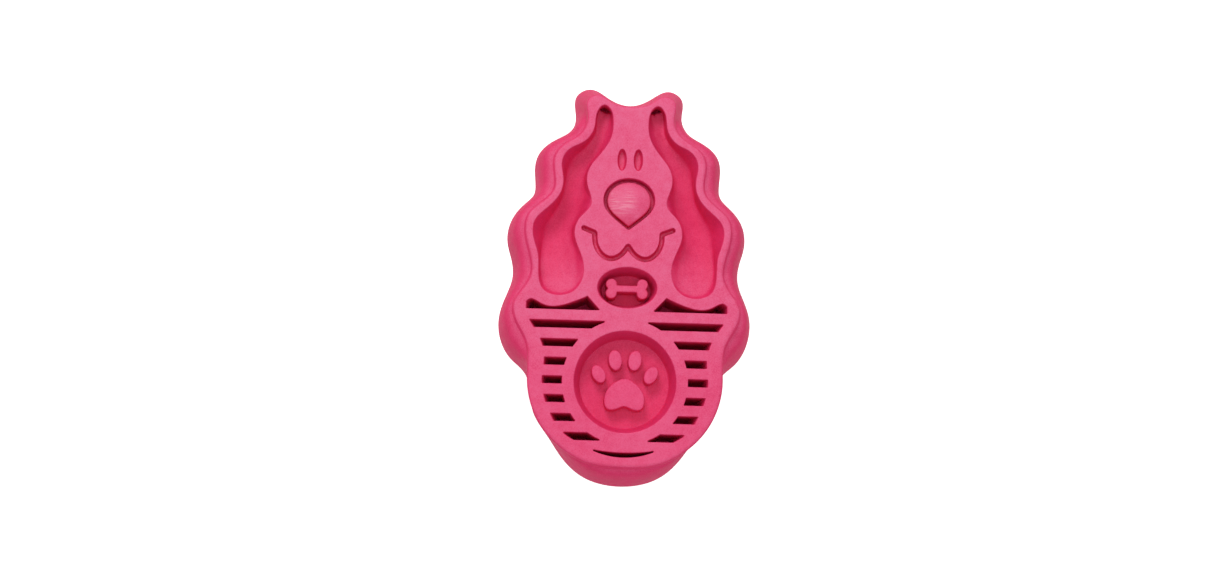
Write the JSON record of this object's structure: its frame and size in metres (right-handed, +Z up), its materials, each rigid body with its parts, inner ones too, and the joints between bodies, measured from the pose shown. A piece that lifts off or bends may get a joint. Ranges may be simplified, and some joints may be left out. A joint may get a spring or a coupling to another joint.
{
  "type": "rubber pet grooming brush",
  "caption": "Palm-sized moulded rubber pet grooming brush: dog's-head grip face with hollow ears and a slotted grille, lobed skirt, and rows of tapered massaging fingers underneath.",
  "frame": {"origin": "under the middle of the body's outline, level with the fingertips it stands on", "axes": "+X to the right of the dog's face as it is looked at, +Y along the length towards the ear tips, +Z up out of the flat grip face"},
  "size_m": [0.0752, 0.12, 0.038],
  "materials": {
    "pink_rubber": "matte to satin moulded rubber, fine grain"
  },
  "bodies": {
    "root": {"base_web": "pink_rubber", "side_skirt": "pink_rubber", "left_ear_cup": "pink_rubber", "right_ear_cup": "pink_rubber", "face_panel": "pink_rubber", "nose": "pink_rubber", "oval_floor": "pink_rubber", "bone_emblem": "pink_rubber", "window_ring": "pink_rubber", "medallion_floor": "pink_rubber", "paw_emblem": "pink_rubber", "lower_rim": "pink_rubber", "long_crossbar": "pink_rubber", "left_rib_1": "pink_rubber", "right_rib_1": "pink_rubber", "left_rib_2": "pink_rubber", "right_rib_2": "pink_rubber", "left_rib_3": "pink_rubber", "right_rib_3": "pink_rubber", "left_rib_4": "pink_rubber", "right_rib_4": "pink_rubber", "left_rib_5": "pink_rubber", "right_rib_5": "pink_rubber", "left_rib_6": "pink_rubber", "right_rib_6": "pink_rubber", "finger_row_01": "pink_rubber", "finger_row_02": "pink_rubber", "finger_row_03": "pink_rubber", "finger_row_04": "pink_rubber", "finger_row_05": "pink_rubber", "finger_row_06": "pink_rubber", "finger_row_07": "pink_rubber", "finger_row_08": "pink_rubber", "finger_row_09": "pink_rubber", "finger_row_10": "pink_rubber", "finger_row_11": "pink_rubber", "finger_row_12": "pink_rubber", "finger_row_13": "pink_rubber"}
  },
  "joints": []
}
